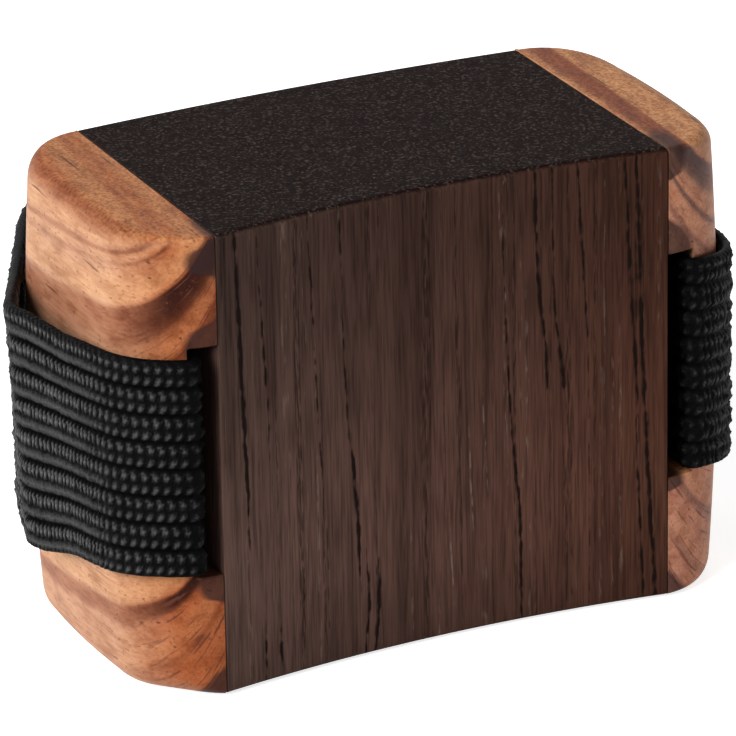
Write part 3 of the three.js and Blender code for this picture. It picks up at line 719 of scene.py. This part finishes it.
def strapSurface():
    # half thickness over the width: ribs of two rows each, every stitch of a row a bead that slants away from
    # the rib's middle
    s, count, x, y, heading = strapPath()
    ribs, width, selvedge = strap["ribs"], strap["width"], strap["selvedge"]
    edges = np.array([strap["edgePlace"], ribs - strap["edgePlace"], ribs])
    outer, inner = (np.sort(np.append((np.arange(ribs)[:, None] + strap[places]).ravel(), edges))
                    for places in ("outerPlaces", "innerPlaces"))
    around = np.concatenate([outer, inner[::-1]])
    # the outer face lies to the right of the heading
    face = np.concatenate([np.full(len(outer), -1.0), np.full(len(inner), 1.0)])
    part = around - np.minimum(np.floor(around), ribs - 1) - 0.5
    rib = np.abs(np.cos(math.pi * part)) ** strap["ribRound"]
    row = np.abs(np.sin(2 * math.pi * part)) ** strap["rowRound"]
    phase = count[:, None] + strap["chevron"] * 2 * np.abs(part) + strap["rowShift"] * np.floor(around)
    wave = 0.5 - 0.5 * np.cos(2 * math.pi * phase)
    # on the slack runs the lower row of a rib lies flat and shows as a plain cord
    toEnd = s[-1] - s
    drawn = strapValue("drawn", np.minimum(s, toEnd))[:, None]
    bead = row * np.where(part > 0, wave, wave * drawn + strap["flatBead"] * (1 - drawn))
    half = strap["thick"] / 2 - strap["ribDepth"] * (1 - rib) - strap["beadDepth"] * (1 - bead)
    z = width * (around / ribs - 0.5)
    # round selvedge along both edges
    fromEdge = np.clip((width / 2 - np.abs(z)) / selvedge, 0, 1)
    roundEdge = selvedge * np.sqrt(np.maximum(1 - (1 - fromEdge) ** 2, strap["selvedgeLeast"]))
    roundEdge = roundEdge * (1 - strap["selvedgeWave"] + strap["selvedgeWave"] * wave)
    half = np.where(fromEdge < 1, roundEdge, half)
    # uneven knit: noise over rows and stitches, eased along the strap
    noise = np.random.default_rng(strap["noiseSeed"]).normal(size=(len(s) + 2, len(around)))
    noise = (noise[:-2] + 2 * noise[1:-1] + noise[2:]) / strap["noiseSpread"]
    half = half + strapValue("uneven", s)[:, None] * noise * rib
    below = width / 2 - z
    z = z * (1 + strapValue("leftSpread", toEnd)[:, None])
    drop = strapValue("rightDrop", s)[:, None] + strapValue("leftHang", toEnd)[:, None] * below
    offset = face * half + strapValue("leftLean", toEnd)[:, None] * below
    points = np.stack([x[:, None] - offset * np.cos(heading)[:, None],
                       y[:, None] + offset * np.sin(heading)[:, None], strap["middleZ"] + z - drop], -1)
    edgeRise, edgeWave = strap["riseEdge"]
    knitRise = rib * strap["riseRib"] + bead * strap["riseBead"]
    rise = np.where(fromEdge < 1, edgeRise + edgeWave * wave, knitRise)
    # painted shade darkens the yarn towards each tail in its pocket, and painted light and sheen pale it
    # further out
    rise = rise * np.where(s < toEnd, strapValue("rightTone", s), strapValue("leftTone", toEnd))[:, None]
    return points, rise, s[-1]


# black knitted elastic: polyester yarn over rubber, matt, with a painted highlight on the stitches and
# painted light and sheen where it hangs slack; real yarn fuzz is finer and is drawn as coarse as it needs to
# show
elasticLook = {"yarnSize": 0.17, "patchSize": 2.0, "fuzzShare": 0.5, "patchShare": 0.2, "shadeSpan": 2.2,
               # painted shade in the grooves and the shaded yarn, yarn, painted highlight on the crests,
               # slack yarn in painted light
               "tones": [(0.185, "#010101"), (0.303, "#070707"), (0.382, "#181818"), (0.58, "#4b4b4b"),
                         (0.9, "#808080")],
               "roughness": 0.5, "ior": 1.5, "specular": 0.02, "bumpStrength": 0.8, "bumpDepth": 0.09}
elastic, tree = newMaterial("knittedElastic")
tall = addNode(tree, "Attribute", attribute_name="rise").outputs["Fac"]
coords = addNode(tree, "TexCoord").outputs["Object"]
fuzz = addNode(tree, "Mapping", {"Vector": coords, "Scale": (1 / elasticLook["yarnSize"] / mm,) * 3})
fuzz = addNode(tree, "TexNoise", {"Vector": fuzz, "Scale": 1.0, "Detail": 3.0})
patch = addNode(tree, "Mapping", {"Vector": coords, "Scale": (1 / elasticLook["patchSize"] / mm,) * 3})
patch = addNode(tree, "TexNoise", {"Vector": patch, "Scale": 1.0, "Detail": 2.0})
# colour follows the knit's height: painted shade in the grooves and a painted highlight on the crests
shade = addNode(tree, "Math", {0: fuzz, 1: elasticLook["fuzzShare"], 2: tall}, operation="MULTIPLY_ADD")
shade = addNode(tree, "Math", {0: patch, 1: elasticLook["patchShare"], 2: shade}, operation="MULTIPLY_ADD")
shade = addNode(tree, "Math", {0: shade, 1: elasticLook["shadeSpan"]}, operation="DIVIDE")
colour = addNode(tree, "ValToRGB", {"Fac": shade}, stops=elasticLook["tones"])
finishMaterial(tree, elasticLook, colour, fuzz, elasticLook["roughness"])

points, rise, length = strapSurface()
rows, columns = rise.shape
faces = gridFaces(rows, columns, wrapColumns=True)
faces += [list(range(columns))[::-1], list(range((rows - 1) * columns, rows * columns))]
elasticStrap = putMesh("elasticStrap", points, faces, elastic, creaseDegrees=180)
riseData = elasticStrap.data.attributes.new("rise", "FLOAT", "POINT").data
riseData.foreach_set("value", rise.ravel().astype(np.float32))
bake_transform(elasticStrap)
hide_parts("strap_left_tail", "strap_finger_loop", "strap_right_tail")
print("strap made:", rows, "x", columns, "and", round(float(length), 1), "mm long")

# shot: balls of each row as spheres, x = r sin(a) cos(b), y = r sin(a) sin(b), z = r cos(a)
shot = {"radius": 1.25, "rings": 14, "sides": 24, "rows": 4, "perRow": 6,
        "scuffSize": 0.25, "gloss": (0.3, 0.7, 0.18, 0.34), "tones": [(0.3, "#a9acb0"), (0.7, "#c3c6c9")]}
steel, tree = newMaterial("polishedSteelShot")  # tumbled bearing steel with fine scuffs
coords = addNode(tree, "TexCoord").outputs["Object"]
scuffs = addNode(tree, "Mapping", {"Vector": coords, "Scale": (1 / shot["scuffSize"] / mm,) * 3})
scuffs = addNode(tree, "TexNoise", {"Vector": scuffs, "Scale": 1.0, "Detail": 4.0})
gloss = addNode(tree, "MapRange", {"Value": scuffs}, span=shot["gloss"])
colour = addNode(tree, "ValToRGB", {"Fac": scuffs}, stops=shot["tones"])
shader = addNode(tree, "BsdfPrincipled", {"Base Color": colour, "Metallic": 1.0, "Roughness": gloss})
addNode(tree, "OutputMaterial", {"Surface": shader})
tilt = np.linspace(0, math.pi, shot["rings"])[:, None]
turn = np.linspace(0, 2 * math.pi, shot["sides"], endpoint=False)[None, :]
ball = [np.sin(tilt) * np.cos(turn), np.sin(tilt) * np.sin(turn), np.cos(tilt) * np.ones_like(turn)]
ball = (shot["radius"] * np.stack(ball, -1)).reshape(-1, 3)
ballFaces = np.array(gridFaces(shot["rings"], shot["sides"], wrapColumns=True))
for row in range(1, shot["rows"] + 1):
    nodes = [f"shot_row{row}_ball{k}" for k in range(1, shot["perRow"] + 1)]
    centres = np.array([sum(map(np.array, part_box(node))) / 2 / mm for node in nodes])
    points = (centres[:, None] + ball).reshape(-1, 3)
    faces = (ballFaces + (np.arange(len(nodes)) * len(ball))[:, None, None]).reshape(-1, 4).tolist()
    balls = putMesh(f"shotRow{row}", points, faces, steel, weld=True)
    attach(balls, f"shot_row{row}")
    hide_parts(*nodes)
print("shot made")
